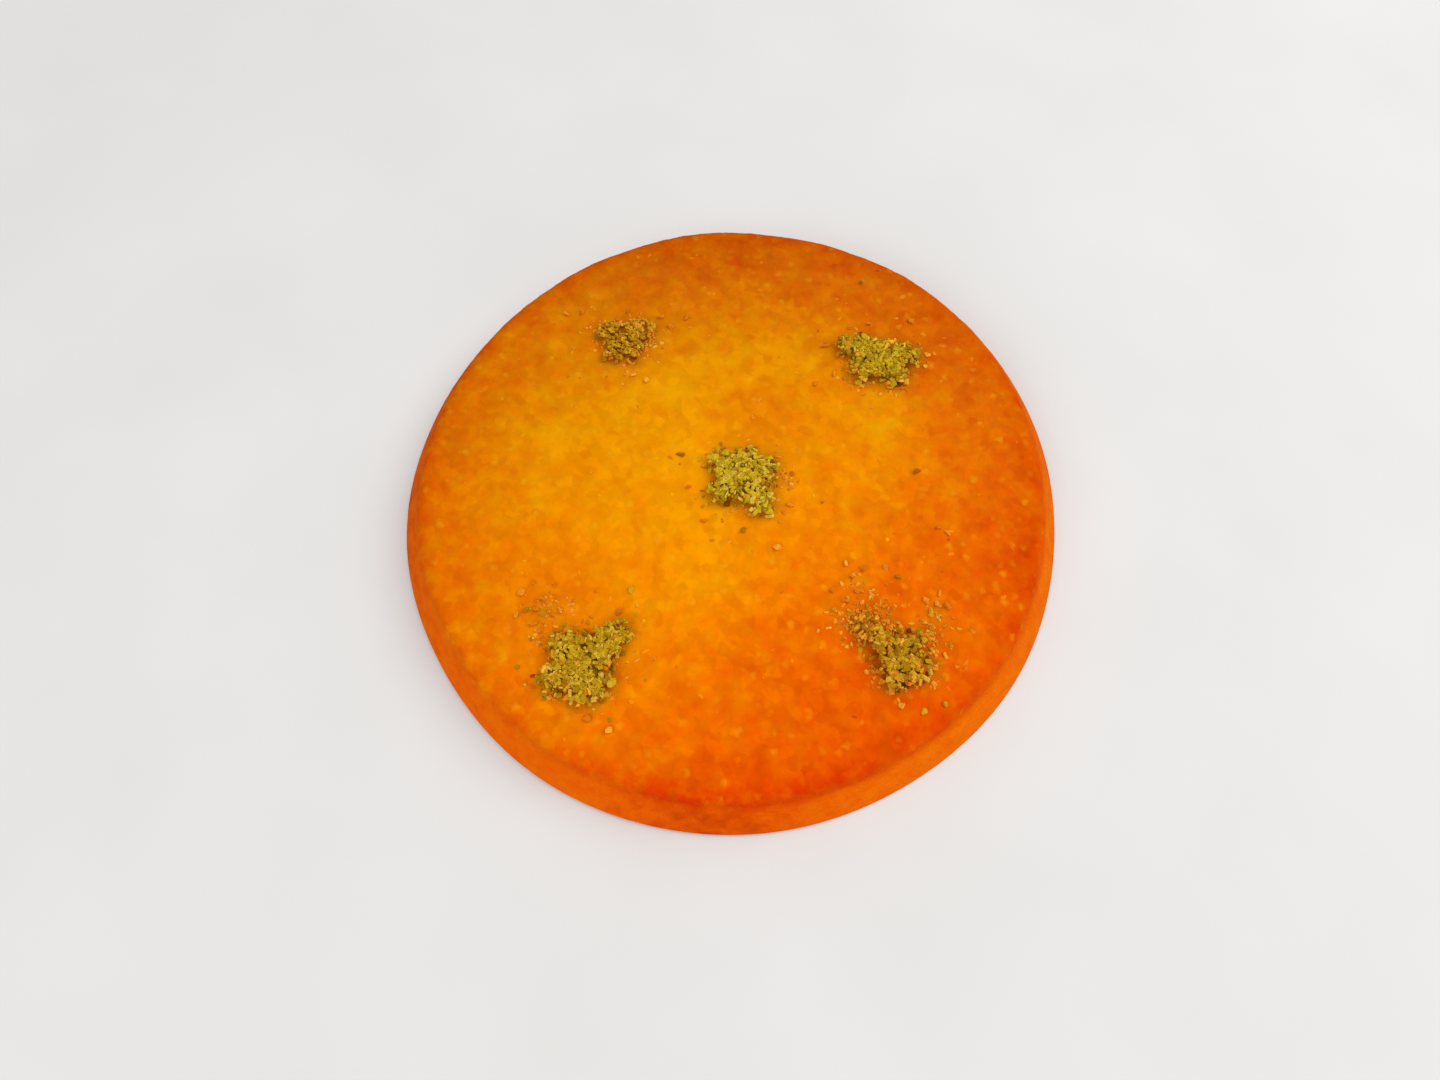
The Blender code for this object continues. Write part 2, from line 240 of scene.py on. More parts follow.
# Those that slid off a heap: how far out the nearest lie against its reach, how far the others
# strayed from there, and their sizes against the heap's largest crumb.
SLID_OUT = 0.88
SLID_STRAY = 0.22
SLID_SIZES = (0.3, 0.7)
SLID_BROWN = 0.5             # share of them that is tan, and more by the heap's skins
SLID_BROWNER = 0.25

# How far under the crust's level a small crumb's or fleck's middle lies, against its size.
SMALL_SINK = 0.08

# Added to the solids' seeds for the draws that are made here.
SEED_SHIFT = 500

# Specks that scorched in the crust: place and size of each in mm, and how dark it is.
SCORCHED = (
    (-69, -78, 2.7, 1.0), (43, -92, 1.8, 0.6), (-50, 45, 1.9, 0.5), (37, 67, 2.0, 0.5),
    (82, -26, 1.8, 0.6), (-49, -47, 1.6, 0.5), (19, -47, 1.6, 0.5), (78, -39, 1.6, 0.5),
    (-61, 44, 1.7, 0.5), (-37, 31, 1.8, 0.5), (-66, 45, 1.6, 0.4), (24, -5, 1.4, 0.4),
    (64, 98, 1.9, 0.7), (62, -24, 1.6, 0.4), (-19, -75, 1.6, 0.4),
)

# The larger flecks of dough that stayed pale: place and size of each in mm, and how pale it is.
PALE_FLECKS = (
    (59, -26, 2.2, 1.0), (84, 56, 2.5, 1.0), (83, -23, 2.0, 0.9), (24, -1, 1.6, 0.7),
    (80, 65, 2.6, 0.7), (-31, -79, 1.8, 0.7), (-7, 86, 2.2, 0.7), (32, -8, 1.9, 0.6),
    (-31, -58, 1.9, 0.6), (99, -49, 3.2, 0.5), (73, 84, 3.3, 0.5), (-40, 106, 2.3, 0.5),
    (-44, -91, 2.0, 0.5), (46, 73, 2.3, 0.5), (99, 23, 2.8, 0.5), (76, -82, 2.4, 0.5),
    (-35, 107, 2.3, 0.5), (83, -73, 3.4, 0.5), (22, -72, 2.3, 0.5), (-10, -85, 3.2, 0.4),
    (87, -62, 2.1, 0.5), (27, 47, 2.7, 0.4), (-34, -87, 2.9, 0.4), (99, 53, 2.2, 0.4),
    (105, -30, 2.1, 0.4), (-30, -69, 3.2, 0.4), (82, -32, 2.8, 0.4),
)

# The finer ones: how many are strewn over the top, their sizes in mm, how pale, and how far they
# stay in from its edge. Those that come nearer a heap than the clearance are left out.
FLECK_SEED = 71
FINE_FLECKS = 85
FLECK_SIZES = (1.0, 2.4)
FLECK_PALLOR = (0.1, 0.4)
FLECK_MARGIN = 2 * MM
FLECK_CLEARANCE = 1 * MM
FLECK_TILT = 0.25            # radians

# The soft shapes that flecks of dough are copies of: how many, their size and how lumpy.
DOUGH_SHAPES = 8
DOUGH_LENGTH = 1.1
DOUGH_WIDTH = (0.45, 0.8)
DOUGH_HEIGHT = 0.35
DOUGH_LUMPS = (0.85, 1.15)

# Where the top took more colour than round about, or less: place and spread in mm, and how much.
BAKED_PATCHES = (
    (40, -65, 16, 0.4), (60, 20, 13, -0.45), (-65, -40, 13, 0.45), (-60, -95, 22, -0.35),
    (-20, 45, 12, -0.42), (85, -70, 13, -0.5), (25, 60, 13, -0.4), (-75, 20, 16, -0.25),
    (20, 20, 12, 0.3), (0, 110, 30, 0.15), (-110, 0, 13, 0.3), (85, -30, 16, 0.2),
    (-20, -35, 13, -0.2),
)

# The camera of the photograph: over the front edge, tilted up from straight down.
CAMERA_PLACE = (0, -135.6 * MM, 297.1 * MM)
CAMERA_TURN = (21.34, 0.65, 0.25)    # degrees
CAMERA_LENS = 20                     # mm, on a sensor 36 mm wide

# The studio: each lamp's place and width in metres and its watts, the room's light and the floor.
LAMPS = (
    ("key_light", (1.2, 0.45, 1.42), 1.35, 20.0),
    ("fill_light", (-0.93, -1.08, 1.2), 1.5, 12.2),
)
ROOM_LIGHT = 0.62
FLOOR_WIDTH = 6


# ---------------------------------------------------------------- the shapes that the solids set

def smoothstep(value):
    """A soft rise from 0 at 0 to 1 at 1."""
    value = np.clip(value, 0.0, 1.0)
    return value * value * (3 - 2 * value)


def outline_scale(angle):
    """Ratio of the uneven outline to a true circle, at an angle or at an array of them."""
    swell = 0.0
    for count, height, crest in OUTLINE_WAVES:
        swell = swell + height * np.cos(count * (angle - math.radians(crest)))
    return 1 + swell / FOOT_RADIUS


def outline_middle():
    """Middle of the uneven outline's box, which lies over the origin."""
    angle = math.tau * np.arange(OUTLINE_SAMPLES) / OUTLINE_SAMPLES
    radius = FOOT_RADIUS * outline_scale(angle)
    x = radius * np.cos(angle)
    y = radius * np.sin(angle)
    return (x.min() + x.max()) / 2, (y.min() + y.max()) / 2


def dip(x, y):
    """How far the top lies below its full height: nothing round the heaps."""
    gaps = [np.hypot(x - heap["place"][0], y - heap["place"][1]) for heap in HEAPS.values()]
    share = smoothstep((np.minimum.reduce(gaps) - FLAT_RADIUS) / FLAT_FADE)
    turn = math.tau / DIP_WAVE
    across = np.sin(turn * (x + DIP_SLANTS[0] * y) + DIP_PHASES[0])
    along = np.sin(turn * (y + DIP_SLANTS[1] * x) + DIP_PHASES[1])
    return DIP_DEPTH * share * (0.5 + 0.5 * across * along)


def heap_reach(angle, heap):
    """How far a heap runs from its own middle in a direction: out to the farthest of its lobes."""
    reach = 0.0
    for lobe_x, lobe_y, radius in heap["lobes"]:
        along = lobe_x * math.cos(angle) + lobe_y * math.sin(angle)
        across = lobe_y * math.cos(angle) - lobe_x * math.sin(angle)
        if abs(across) < radius:
            reach = max(reach, along + math.sqrt(radius * radius - across * across))
    return reach * MM


def core_height(x, y, heap):
    """Height of the heap's core at a place measured from its own middle."""
    share = math.hypot(x, y) / heap_reach(math.atan2(y, x), heap)
    return heap["height"] * math.sqrt(max(1 - share * share, 0.0))


def grain_places(heap):
    """Places and sizes of a heap's big grains, where its solid has them."""
    chance = random.Random(heap["seed"])
    areas = [radius * radius for _, _, radius in heap["lobes"]]
    placed = []
    for number in range(heap["grains"]):
        size = GRAIN_LARGEST + (GRAIN_SMALLEST - GRAIN_LARGEST) * number / (heap["grains"] - 1)
        emptiest = -1.0
        for _ in range(GRAIN_TRIES):
            lobe_x, lobe_y, radius = chance.choices(heap["lobes"], areas)[0]
            angle = chance.uniform(0, math.tau)
            reach = radius * math.sqrt(chance.random())
            x = (lobe_x + reach * math.cos(angle)) * MM
            y = (lobe_y + reach * math.sin(angle)) * MM
            room = min((math.hypot(x - px, y - py) for px, py, _ in placed), default=0.0)
            if room > emptiest:
                emptiest = room
                place = (x, y, size)
        placed.append(place)
    return placed


def clear_of_heaps(x, y, clearance):
    """Whether a place is at least this far from the lobes of every heap."""
    for heap in HEAPS.values():
        for lobe_x, lobe_y, radius in heap["lobes"]:
            gap_x = x - heap["place"][0] - lobe_x * MM
            gap_y = y - heap["place"][1] - lobe_y * MM
            if math.hypot(gap_x, gap_y) < radius * MM + clearance:
                return False
    return True


def crumb_places():
    """Places and sizes of the loose crumbs, where the pastry's solid has them."""
    chance = random.Random(CRUMB_SEED)
    placed = []
    for centre_x, centre_y, spread, count in SCATTERS:
        for _ in range(count):
            size = chance.uniform(CRUMB_SMALLEST, CRUMB_LARGEST)
            for _ in range(CRUMB_TRIES):
                x = chance.gauss(centre_x, spread * CRUMB_STRAY) * MM
                y = chance.gauss(centre_y, spread * CRUMB_STRAY) * MM
                apart = all(math.hypot(x - px, y - py) > size * CRUMB_SPACING for px, py, _ in placed)
                if apart and clear_of_heaps(x, y, HEAP_CLEARANCE):
                    placed.append((x, y, size))
                    break
    return placed


# ---------------------------------------------------------------- materials

def srgb(hex_colour):
    """Linear RGBA for an sRGB hex colour."""
    channels = [int(hex_colour[i:i + 2], 16) / 255 for i in (0, 2, 4)]
    linear = [c / 12.92 if c <= 0.04045 else ((c + 0.055) / 1.055) ** 2.4 for c in channels]
    return (*linear, 1.0)


def per(size_mm):
    """Texture scale for a pattern whose features are this many millimetres across."""
    return 1 / (size_mm * MM)


def node(tree, kind, links=None, stops=(), steps=False, **settings):
    """Add a shader node. links fills its inputs, by name or number, with values or other nodes."""
    made = tree.nodes.new("ShaderNode" + kind)
    for name, value in settings.items():
        setattr(made, name, value)
    for key, value in (links or {}).items():
        if isinstance(key, int):
            socket = made.inputs[key]
        else:
            socket = next(s for s in made.inputs if s.name == key and s.enabled)
        if isinstance(value, bpy.types.Node):
            value = next(output for output in value.outputs if output.enabled)
        if isinstance(value, bpy.types.NodeSocket):
            tree.links.new(value, socket)
        else:
            socket.default_value = value
    if stops:
        ramp = made.color_ramp
        ramp.interpolation = "CONSTANT" if steps else "LINEAR"
        ramp.elements.remove(ramp.elements[1])
        ramp.elements[0].position = stops[0][0]
        ramp.elements[0].color = srgb(stops[0][1])
        for position, colour in stops[1:]:
            ramp.elements.new(position).color = srgb(colour)
    return made


def start_material(name, roughness, specular):
    """A Principled material with its constants on the shader's own sockets."""
    material = bpy.data.materials.new(name)
    material.use_nodes = True
    tree = material.node_tree
    shader = tree.nodes["Principled BSDF"]
    shader.inputs["Roughness"].default_value = roughness
    shader.inputs["Specular IOR Level"].default_value = specular
    return material, tree, shader


def toasted_and_shaded(tree, place, colour):
    """Darker the farther it lay from the front: partly toasted browner where less butter stayed, partly
    painted shade where less light reached.
    """
    away = node(tree, "Mapping", {"Vector": place, "Location": BUTTERY_LIT_PLACE, "Scale": TOAST_AND_SHADE_REACH},
                vector_type="TEXTURE")
    share = node(tree, "VectorMath", {0: away, 1: away}, operation="DOT_PRODUCT").outputs["Value"]
    # Painted shade mixed with a browner bake: the colour is multiplied darker away from the front.
    toast_and_shade = node(tree, "ValToRGB", {"Fac": share}, stops=(
        (0.0, "FBFCF0"), (0.275, "F3FFF4"), (0.6, "E4F3F0"), (1.0, "D6F2EE")))
    return node(tree, "Mix", {"Factor": 1.0, "A": colour, "B": toast_and_shade}, data_type="RGBA",
                blend_type="MULTIPLY").outputs[2]


def oven_colour(tree, place, *finer):
    """How deeply the top is baked, least just left of the middle, as orange from yellow to red.

    finer gives patterns and their strengths, besides the slow ones. All but the slowest of them
    show more where the top is baked deeper.
    """
    oval = node(tree, "Mapping", {
        "Vector": place, "Location": PALE_PLACE, "Rotation": (0, 0, math.radians(PALE_TURN)),
        "Scale": PALE_REACH}, vector_type="TEXTURE")
    baked = node(tree, "VectorMath", {0: oval, 1: oval}, operation="DOT_PRODUCT").outputs["Value"]
    contrast = node(tree, "MapRange", {0: baked, 1: 0.1, 2: 0.8, 3: 0.75, 4: 1.4})
    patchy = node(tree, "Attribute", attribute_name="patchy").outputs["Fac"]
    baked = node(tree, "Math", {0: baked, 1: patchy}, operation="ADD")
    broad = node(tree, "TexNoise", {"Vector": place, "Scale": per(22), "Detail": 2.0})
    blotches = node(tree, "TexNoise", {"Vector": place, "Scale": per(8), "Detail": 3.0})
    for pattern, strength in ((broad, 0.8), (blotches, 1.2), *finer):
        uneven = node(tree, "Math", {0: pattern, 1: -0.5}, operation="ADD")
        if pattern is not broad:
            uneven = node(tree, "Math", {0: uneven, 1: contrast}, operation="MULTIPLY")
        baked = node(tree, "Math", {0: uneven, 1: strength, 2: baked}, operation="MULTIPLY_ADD")
    depth = node(tree, "MapRange", {0: baked, 1: -0.3, 2: 2.2, 3: 0.0, 4: 1.0})
    return node(tree, "ValToRGB", {"Fac": depth}, stops=(
        (0.0, "F89C02"), (0.12, "F59001"), (0.28, "F07E01"), (0.44, "EC6E01"), (0.6, "E86001"),
        (0.76, "E25201"), (1.0, "D23C01")))


def baked_crust():
    """Fine kunafa dough, browned in butter and soaked with syrup.

    Saturated orange, yellower over the middle and redder outwards, softly mottled by the crumbs
    of dough packed in it, with a deep blotchy ring along the top edge and a side of evener colour.
    """
    material, tree, shader = start_material("baked_kunafa_crust", 0.5, 0.05)
    shader.inputs["Specular Tint"].default_value = srgb("FFB408")
    place = node(tree, "TexCoord").outputs["Object"]
    rim, fried, plate_reflection, dust_and_shade = (
        node(tree, "Attribute", attribute_name=name).outputs["Fac"]
        for name in ("rim", "fried", "plate_reflection", "dust_and_shade"))

    # Crumbs of dough pressed together, each browned on its own. Their edges wander.
    sway = node(tree, "TexNoise", {"Vector": place, "Scale": per(3), "Detail": 2.0}).outputs["Color"]
    packed = node(tree, "VectorMath", {0: sway, 1: (3 * MM, 3 * MM, 3 * MM), 2: place},
                  operation="MULTIPLY_ADD")
    crumbs = node(tree, "TexVoronoi", {"Vector": packed, "Scale": per(3.4), "Smoothness": 0.35},
                  feature="SMOOTH_F1").outputs["Color"]
    crumb = node(tree, "SeparateColor", {0: crumbs})
    smudges = node(tree, "TexNoise", {"Vector": packed, "Scale": per(2.6), "Detail": 1.0})
    top = oven_colour(tree, place, (smudges, 0.19), (crumb.outputs["Red"], 0.2))

    # Crumbs differ in lightness. A few flecks stayed pale, and pits well away from those are dark.
    cloud = node(tree, "TexNoise", {"Vector": place, "Scale": per(7), "Detail": 2.0})
    light = node(tree, "MapRange", {0: crumb.outputs["Green"], 1: 0.2, 2: 0.8, 3: 0.815, 4: 0.915})
    light = node(tree, "Math", {0: cloud, 1: 0.2, 2: light}, operation="MULTIPLY_ADD")
    top = node(tree, "HueSaturation", {"Color": top, "Value": light})
    flecks = node(tree, "TexVoronoi", {"Vector": packed, "Scale": per(6)})
    fleck = node(tree, "MapRange", {0: flecks.outputs["Distance"], 1: 0.1, 2: 0.3, 3: 0.34, 4: 0.0})
    chosen = node(tree, "SeparateColor", {0: flecks.outputs["Color"]})
    fleck = node(tree, "Math", {0: fleck, 1: chosen.outputs["Red"]}, operation="MULTIPLY")
    top = node(tree, "Mix", {"Factor": fleck, "A": top, "B": srgb("FAA81C")}, data_type="RGBA")
    pits = node(tree, "MapRange", {0: flecks.outputs["Distance"], 1: 0.75, 2: 1.0, 3: 0.0, 4: 0.2})
    top = node(tree, "Mix", {"Factor": pits, "A": top, "B": srgb("B45004")}, data_type="RGBA")

    # Powder of nut that clings to the syrup round the heaps, with painted shade: the crust is darkened
    # round the heaps and between the fallen crumbs.
    powder_and_shade = node(tree, "TexNoise", {"Vector": place, "Scale": per(3.5), "Detail": 4.0, "Roughness": 0.7})
    powder_and_shade = node(tree, "MapRange", {0: powder_and_shade, 1: 0.35, 2: 0.65, 3: 0.12, 4: 0.55})
    powder_and_shade = node(tree, "Math", {0: powder_and_shade, 1: dust_and_shade}, operation="MULTIPLY")
    top = node(tree, "Mix", {"Factor": powder_and_shade, "A": top, "B": srgb("AE700E")}, data_type="RGBA")

    # The side, which lay against the tray: of evener colour, with the painted reflection of a gold
    # plate's light on it, lighter towards one bearing and darker at the front.
    flank = node(tree, "MapRange", {0: rim, 1: SIDE_COLOUR[0], 2: SIDE_COLOUR[1]},
                 interpolation_type="SMOOTHSTEP")
    mottle = node(tree, "TexNoise", {"Vector": place, "Scale": per(6), "Detail": 3.0})
    mottle = node(tree, "Math", {0: mottle, 1: 0.5, 2: 0.3}, operation="MULTIPLY_ADD")
    mottle = node(tree, "Math", {0: crumb.outputs["Red"], 1: 0.1, 2: mottle}, operation="MULTIPLY_ADD")
    # Painted reflection of the gold plate's light on the side.
    mottle = node(tree, "Math", {0: mottle, 1: plate_reflection}, operation="ADD")
    side = node(tree, "ValToRGB", {"Fac": mottle}, stops=(
        (0.3, "D04402"), (0.44, "E25202"), (0.56, "EF5F02"), (0.8, "F37104"), (1.0, "F6800A")))
    colour = node(tree, "Mix", {"Factor": flank, "A": top, "B": side}, data_type="RGBA")

    # The ring along the top edge, where butter fried it darkest, broken into blotches.
    patches = node(tree, "TexNoise", {"Vector": place, "Scale": per(7), "Detail": 3.0, "Roughness": 0.6})
    patches = node(tree, "MapRange", {0: patches, 1: 0.4, 2: 0.58})
    ring = node(tree, "Math", {0: fried, 1: patches}, operation="MULTIPLY")
    colour = node(tree, "Mix", {"Factor": ring, "A": colour, "B": srgb("D82602")}, data_type="RGBA")
    # The colour is darkened towards the back: a browner bake with painted shade.
    tree.links.new(toasted_and_shaded(tree, place, colour), shader.inputs["Base Color"])

    # Damp satin on top, where syrup stands a little shinier in some places, and matt down the side.
    damp = node(tree, "TexNoise", {"Vector": place, "Scale": per(12), "Detail": 3.0})
    gloss = node(tree, "MapRange", {0: damp, 1: 0.3, 2: 0.7, 3: 0.4, 4: 0.58})
    matt = node(tree, "MapRange", {0: rim, 1: SIDE_MATT[0], 2: SIDE_MATT[1]})
    gloss = node(tree, "Mix", {"Factor": matt, "A": gloss, "B": 1.0})
    tree.links.new(gloss.outputs[0], shader.inputs["Roughness"])

    # Rounded ends of the finest crumbs, standing out more down the side.
    ends = node(tree, "TexVoronoi", {"Vector": packed, "Scale": per(1.5), "Smoothness": 0.4},
                feature="SMOOTH_F1")
    fine = node(tree, "TexNoise", {"Vector": place, "Scale": per(0.7), "Detail": 2.0})
    grain = node(tree, "Math", {0: fine, 1: ends}, operation="SUBTRACT")
    relief = node(tree, "MapRange", {
        0: rim, 1: SIDE_GRAIN[0], 2: SIDE_GRAIN[1], 3: 0.25, 4: 0.8})
    bump = node(tree, "Bump", {"Strength": relief, "Distance": 0.4 * MM, "Height": grain})
    tree.links.new(bump.outputs[0], shader.inputs["Normal"])
    return material


def chopped_pistachio():
    """Roasted pistachio, chopped: matt broken faces, from yellow-green kernel to brown skin.

    The nut is a little translucent, as its oil lets some light in. Syrup browns what lies in it.
    """
    material, tree, shader = start_material("chopped_pistachio", 0.65, 0.07)
    shader.inputs["Specular Tint"].default_value = srgb("FFF0A0")
    shader.inputs["Subsurface Weight"].default_value = 0.3
    shader.inputs["Subsurface Radius"].default_value = (1.0, 0.9, 0.5)
    shader.inputs["Subsurface Scale"].default_value = 0.8 * MM
    place = node(tree, "TexCoord").outputs["Object"]
    tint, soak = (
        node(tree, "Attribute", attribute_name=name).outputs["Fac"] for name in ("tint", "soak"))
    kind = node(tree, "ValToRGB", {"Fac": tint}, steps=True, stops=(
        (0.0, "E4C244"), (0.09, "DAB822"), (0.22, "CEA81A"), (0.36, "BC9A18"), (0.5, "AE8816"),
        (0.6, "FAC03C"), (0.68, "F2AA2A"), (0.78, "DE9018"), (0.88, "B4700C"), (0.96, "7E4206")))
    grain = node(tree, "TexNoise", {"Vector": place, "Scale": per(0.8), "Detail": 2.0})
    shade = node(tree, "ValToRGB", {"Fac": grain}, stops=((0.25, "D4D2BC"), (0.75, "FFFFFF")))
    colour = node(tree, "Mix", {"Factor": 0.8, "A": kind, "B": shade}, data_type="RGBA",
                  blend_type="MULTIPLY")
    colour = node(tree, "Mix", {"Factor": soak, "A": colour, "B": srgb("FFDFE0")}, data_type="RGBA",
                  blend_type="MULTIPLY")
    tree.links.new(colour.outputs[2], shader.inputs["Base Color"])
    bump = node(tree, "Bump", {"Strength": 0.4, "Distance": 0.15 * MM, "Height": grain})
    tree.links.new(bump.outputs[0], shader.inputs["Normal"])
    return material


def pistachio_meal(name, tones):
    """The finest of the ground nuts under the crumbs: matt, from brown to the olive of its tones."""
    material, tree, shader = start_material(name, 0.7, 0.1)
    place = node(tree, "TexCoord").outputs["Object"]
    grain = node(tree, "TexNoise", {"Vector": place, "Scale": per(0.9), "Detail": 3.0})
    colour = node(tree, "ValToRGB", {"Fac": grain}, stops=tuple(zip((0.3, 0.5, 0.62, 0.75), tones)))
    tree.links.new(colour.outputs[0], shader.inputs["Base Color"])
    bump = node(tree, "Bump", {"Strength": 0.6, "Distance": 0.3 * MM, "Height": grain})
    tree.links.new(bump.outputs[0], shader.inputs["Normal"])
    return material


def scorched_dough():
    """Specks of dough that took more colour than the crust round them: browner, and dry."""
    material, tree, shader = start_material("scorched_dough", 0.6, 0.05)
    place = node(tree, "TexCoord").outputs["Object"]
    tint = node(tree, "Attribute", attribute_name="tint").outputs["Fac"]
    colour = oven_colour(tree, place)
    colour = node(tree, "Mix", {"Factor": tint, "A": colour, "B": srgb("C09080")}, data_type="RGBA",
                  blend_type="MULTIPLY")
    # Darkened towards the back like the crust: a browner bake with painted shade.
    tree.links.new(toasted_and_shaded(tree, place, colour), shader.inputs["Base Color"])
    return material


def pale_flecks():
    """Flecks of dough that stayed paler than the crust round them: damp, and lighter orange."""
    material, tree, shader = start_material("pale_dough_fleck", 0.5, 0.05)
    shader.inputs["Specular Tint"].default_value = srgb("FFB408")
    place = node(tree, "TexCoord").outputs["Object"]
    tint = node(tree, "Attribute", attribute_name="tint").outputs["Fac"]
    grain = node(tree, "TexNoise", {"Vector": place, "Scale": per(1.2), "Detail": 2.0})
    pallor = node(tree, "MapRange", {0: grain, 1: 0.2, 2: 0.8, 3: 0.6, 4: 1.4})
    pallor = node(tree, "Math", {0: pallor, 1: tint}, operation="MULTIPLY")
    colour = oven_colour(tree, place)
    colour = node(tree, "Mix", {"Factor": pallor, "A": colour, "B": srgb("746F1E")}, data_type="RGBA",
                  blend_type="ADD")
    # Darkened towards the back like the crust: a browner bake with painted shade.
    tree.links.new(toasted_and_shaded(tree, place, colour), shader.inputs["Base Color"])
    return material


def painted_board():
    """The studio floor: matt pale paint."""
    material, tree, shader = start_material("painted_board", 0.8, 0.2)
    place = node(tree, "TexCoord").outputs["Object"]
    cloud = node(tree, "TexNoise", {"Vector": place, "Scale": per(90), "Detail": 2.0})
    colour = node(tree, "ValToRGB", {"Fac": cloud}, stops=((0.3, "DAD9D5"), (0.7, "DEDDDA")))
    tree.links.new(colour.outputs[0], shader.inputs["Base Color"])
    return material


# ---------------------------------------------------------------- modelling helpers

def clear_selection():
    for item in bpy.context.selected_objects:
        item.select_set(False)


def points_of(mesh):
    points = np.empty(len(mesh.vertices) * 3)
    mesh.vertices.foreach_get("co", points)
    return points.reshape(-1, 3)


def move_points(mesh, points):
    mesh.vertices.foreach_set("co", points.ravel())
    mesh.update()


def roughen(piece, label, size_mm, depth_mm, group=""):
    """Raise and sink a piece's surface by half the depth each way, in a pattern of a given size."""
    texture = bpy.data.textures.new(label, "CLOUDS")
    texture.noise_scale = size_mm * MM
    displace = piece.modifiers.new(label, "DISPLACE")
    displace.texture = texture
    displace.texture_coords = "LOCAL"
    displace.strength = depth_mm * MM
    displace.mid_level = 0.5
    displace.vertex_group = group
    bpy.context.view_layer.objects.active = piece
    bpy.ops.object.modifier_apply(modifier=label)


def name_piece(piece, name, material):
    piece.name = name
    piece.data.name = name
    piece.data.materials.append(material)


# ---------------------------------------------------------------- the pastry

def side_rings():
    """Radius and height of each ring from the flat top's edge, down the side and round the foot."""
    rings = []
    for step in range(1, SHOULDER_RINGS + 1):
        turn = math.radians(SHOULDER_TURN) * step / SHOULDER_RINGS
        rings.append((FLAT_EDGE + SHOULDER * math.sin(turn), TOP - SHOULDER * (1 - math.cos(turn))))
    radius, height = rings[-1]
    for step in range(1, SIDE_RINGS + 1):
        share = step / SIDE_RINGS
        belly = 4 * SIDE_BELLY * share * (1 - share)
        side_radius = radius + (FOOT_RADIUS - radius) * share + belly
        rings.append((side_radius, height + (FOOT_ROUND - height) * share))
    for step in range(1, FOOT_RINGS + 1):
        turn = math.radians(90) * step / FOOT_RINGS
        rings.append((FOOT_RADIUS - FOOT_ROUND * (1 - math.cos(turn)), FOOT_ROUND * (1 - math.sin(turn))))
    return rings


def turned_out_pastry():
    """The pastry: a disc of even squares, its edge drawn down ring by ring and closed underneath."""
    clear_selection()
    bpy.ops.mesh.primitive_circle_add(vertices=RIM_POINTS, radius=FLAT_EDGE)
    pastry = bpy.context.object
    bpy.ops.object.mode_set(mode="EDIT")
    bpy.ops.mesh.select_all(action="SELECT")
    bpy.ops.mesh.fill_grid(span=RIM_POINTS // 4)
    bpy.ops.mesh.select_all(action="SELECT")
    bpy.ops.transform.translate(value=(0, 0, TOP))
    bpy.ops.mesh.region_to_loop()
    radius = FLAT_EDGE
    height = TOP
    for next_radius, next_height in side_rings():
        drop = (0, 0, next_height - height)
        bpy.ops.mesh.extrude_region_move(TRANSFORM_OT_translate={"value": drop})
        ratio = next_radius / radius
        bpy.ops.transform.resize(value=(ratio, ratio, 1), center_override=(0, 0, next_height))
        radius = next_radius
        height = next_height
    bpy.ops.mesh.edge_face_add()
    for _ in range(UNDERSIDE_RINGS):
        bpy.ops.mesh.inset(thickness=UNDERSIDE_RING)
    bpy.ops.mesh.select_all(action="SELECT")
    bpy.ops.mesh.normals_make_consistent(inside=False)
    bpy.ops.object.mode_set(mode="OBJECT")
    return pastry


def heap_dust_and_shade(x, y):
    """How much powder of nut, and painted shade between crumbs, lies at each place: all of it under a
    heap, none well away.
    """
    gaps = []
    for heap in HEAPS.values():
        for lobe_x, lobe_y, radius in heap["lobes"]:
            away = np.hypot(x - heap["place"][0] - lobe_x * MM, y - heap["place"][1] - lobe_y * MM)
            gaps.append(away - radius * MM)
    dust_and_shade = smoothstep(1 - np.minimum.reduce(gaps) / DUST_SHADE_REACH)
    for centre_x, centre_y, spread, count in SPRINKLES:
        away = np.hypot(x - centre_x * MM, y - centre_y * MM) / (spread * MM)
        dust_and_shade = np.maximum(dust_and_shade, min(count / spread ** 2, 1.0) * np.exp(-(away / DUST_SHADE_FADE) ** 2))
    return dust_and_shade


def baked_patches(x, y):
    """How much more colour than round about each place of the top took, or less."""
    depth = 0.0
    for centre_x, centre_y, spread, strength in BAKED_PATCHES:
        away = np.hypot(x - centre_x * MM, y - centre_y * MM) / (spread * MM)
        depth = depth + strength * np.exp(-away ** 2 / 2)
    return depth


def note_on_mesh(piece, name, values):
    """Keep a number for each point of a piece's mesh, which its material reads."""
    piece.data.attributes.new(name, "FLOAT", "POINT").data.foreach_set("value", values)


def hot_spot(angle, bearing, width):
    """How near each angle is to a bearing where the tray stood hotter."""
    away = np.degrees(np.angle(np.exp(1j * (angle - math.radians(bearing)))))
    return np.exp(-(away / width) ** 2)


def fried_ring(rim, angle):
    """How dark butter fried the top's edge."""
    inner = smoothstep((rim - RING_INSIDE) / (RING_CREST - RING_INSIDE))
    outer = smoothstep((RING_OUTSIDE - rim) / (RING_OUTSIDE - RING_CREST))
    strength = RING_LEAST
    for bearing, width, more in RING_SPOTS:
        strength = strength + more * hot_spot(angle, bearing, width)
    return inner * outer * strength


